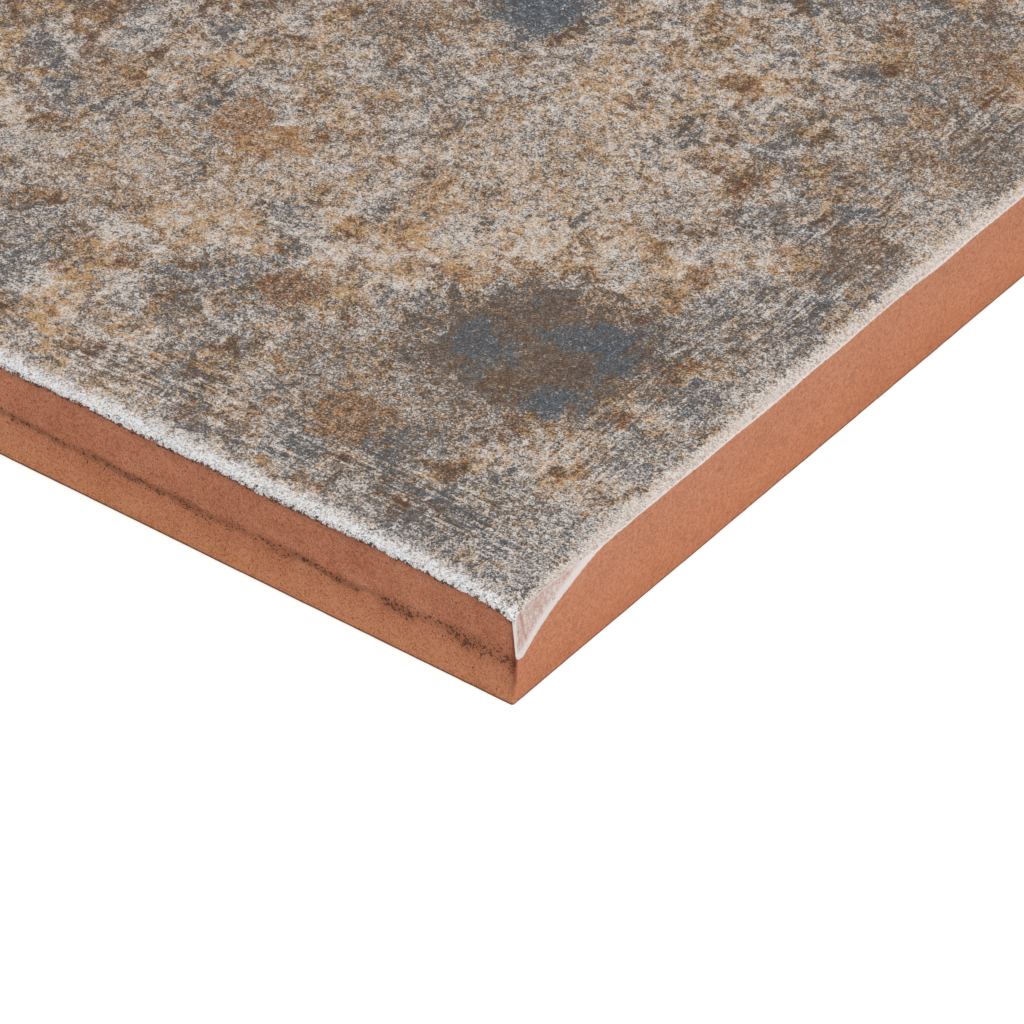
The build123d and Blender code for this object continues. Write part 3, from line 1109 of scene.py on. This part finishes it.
def glaze_material():
    material, g, place = new_material("glazed_face")
    clay, clay_roughness, grit, (grain, _, _) = clay_look(g, place)
    colour, mottle, cluster = print_look(g, place, grit)
    line, edge, cut = (g.attribute(name) for name in ("glaze_line", "print_edge", "cut_side"))
    bare = bare_glaze(g, place, edge, line, cut, grain, grit)
    colour = g.mix(g.ramp(edge, -0.04, -0.14), colour, bare)

    # The glaze ends in a ragged line, more so where it was cut
    shift = g.sum(g.centred(g.noise("jag", place), 0.6), g.centred(g.noise("wobble", place), 0.25))
    above = g.sum(line, g.times(shift, g.scaled(cut, 0.7, 0.3)))
    glaze = g.ramp(above, -0.03, 0.03)
    # Painted shade on the clay of the cut sides just below the glaze edge
    clay = g.mix(g.times(g.ramp(line, -0.7, -0.1), cut, 0.3), clay, SHADE_UNDER_GLAZE)
    surface = g.mix(glaze, clay, colour)

    # Black specks where the cut broke the glaze
    near_line = g.times(g.ramp(above, -0.26, -0.08), g.ramp(above, 0.22, 0.04), cut)
    specks = g.grit(grit, g.times(near_line, 1.12))
    surface = g.mix(g.times(specks, 0.9), surface, GLAZE_SPECK)

    relief = g.sum(
        g.times(glaze, 0.8), g.times(mottle, 0.2), g.times(cluster, 0.15), g.times(grain, 0.15),
    )
    rough = g.mix(glaze, clay_roughness, g.scaled(mottle, 0.16, 0.42))
    principled(g, surface, rough, relief, strength=0.35, specular=0.4)
    return material


shell = build_tile()
tile = make_object(shell, "glazed_tile", [glaze_material(), clay_material()])
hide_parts("tile")
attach(tile, "root")


# Floor, light and camera; places and sizes in metres

FLOOR_HALF = 4.0
FLOOR_DROP = 0.00002
FLOOR_COLOUR = (0.8, 0.8, 0.8, 1.0)
FLOOR_GLOW = 0.45
AMBIENT = 0.35

# Name, place, target, size in m and power in W
LAMPS = (
    ("key", (0.95, -0.35, 0.75), (0.10, 0.0, 0.0), 0.7, 8.5),
    ("overhead", (0.1, 0.2, 1.2), (0.0, 0.0, 0.0), 0.8, 4.0),
    ("back", (-0.8, 0.95, 0.9), (0.0, 0.0, 0.0), 0.8, 2.5),
)

# The camera's direction, and in mm what it looks at and how far off it is
AZIMUTH = math.radians(37.379)
ELEVATION = math.radians(38.845)
CAMERA_TARGET = (141.19, -38.92, 3.0)
CAMERA_DISTANCE = 581.35
LENS = 351.5625
SENSOR_WIDTH = 36.0


def floor_material():
    """Plain pale floor, which the camera sees as nearly white, with the tile's shadow on it."""
    material = bpy.data.materials.new("studio_floor")
    g = Nodes(material)
    plain = g.add("ShaderNodeBsdfDiffuse", {"Color": FLOOR_COLOUR})
    glow = g.add("ShaderNodeEmission", {"Color": WHITE, "Strength": FLOOR_GLOW})
    both = g.add("ShaderNodeAddShader", {0: plain, 1: glow})
    seen = g.add("ShaderNodeLightPath", {}, "Is Camera Ray")
    g.show("ShaderNodeOutputMaterial", g.add("ShaderNodeMixShader", {0: seen, 1: plain, 2: both}))
    return material


def add_floor():
    corners = ((-1, -1), (1, -1), (1, 1), (-1, 1))
    points = [(x * FLOOR_HALF, y * FLOOR_HALF, -FLOOR_DROP) for x, y in corners]
    mesh = bpy.data.meshes.new("studio_floor")
    mesh.from_pydata(points, [], [(0, 1, 2, 3)])
    mesh.materials.append(floor_material())
    floor = bpy.data.objects.new("studio_floor", mesh)
    bpy.context.scene.collection.objects.link(floor)
    return floor


def add_lamp(name, place, target, size, power):
    lamp = bpy.data.lights.new(name, "AREA")
    lamp.shape = "SQUARE"
    lamp.size = size
    lamp.energy = power
    holder = bpy.data.objects.new(name, lamp)
    holder.location = place
    aim = Vector(target) - Vector(place)
    holder.rotation_euler = aim.to_track_quat("-Z", "Y").to_euler()
    bpy.context.scene.collection.objects.link(holder)


def add_world():
    """White where the camera looks past the floor, and dimmer as light on the tile."""
    world = bpy.data.worlds.new("studio")
    bpy.context.scene.world = world
    g = Nodes(world)
    seen = g.add("ShaderNodeLightPath", {}, "Is Camera Ray")
    ambient = g.add("ShaderNodeBackground", {"Color": WHITE, "Strength": AMBIENT})
    white = g.add("ShaderNodeBackground", {"Color": WHITE, "Strength": 1.0})
    g.show("ShaderNodeOutputWorld", g.add("ShaderNodeMixShader", {0: seen, 1: ambient, 2: white}))


def add_camera():
    away = Vector((
        math.sin(AZIMUTH) * math.cos(ELEVATION),
        -math.cos(AZIMUTH) * math.cos(ELEVATION),
        math.sin(ELEVATION),
    ))
    right = Vector((math.cos(AZIMUTH), math.sin(AZIMUTH), 0.0))
    up = away.cross(right)
    turn = Matrix((right, up, away)).transposed().to_4x4()
    place = Vector(CAMERA_TARGET) * MM + away * CAMERA_DISTANCE * MM
    camera_data = bpy.data.cameras.new("camera")
    camera_data.lens = LENS
    camera_data.sensor_width = SENSOR_WIDTH
    camera_data.clip_start = 0.01
    camera_data.clip_end = 20.0
    camera = bpy.data.objects.new("camera", camera_data)
    camera.matrix_world = Matrix.Translation(place) @ turn
    bpy.context.scene.collection.objects.link(camera)
    bpy.context.scene.camera = camera


floor = add_floor()
for lamp in LAMPS:
    add_lamp(*lamp)
add_world()
add_camera()
bpy.context.scene.view_settings.view_transform = "Standard"
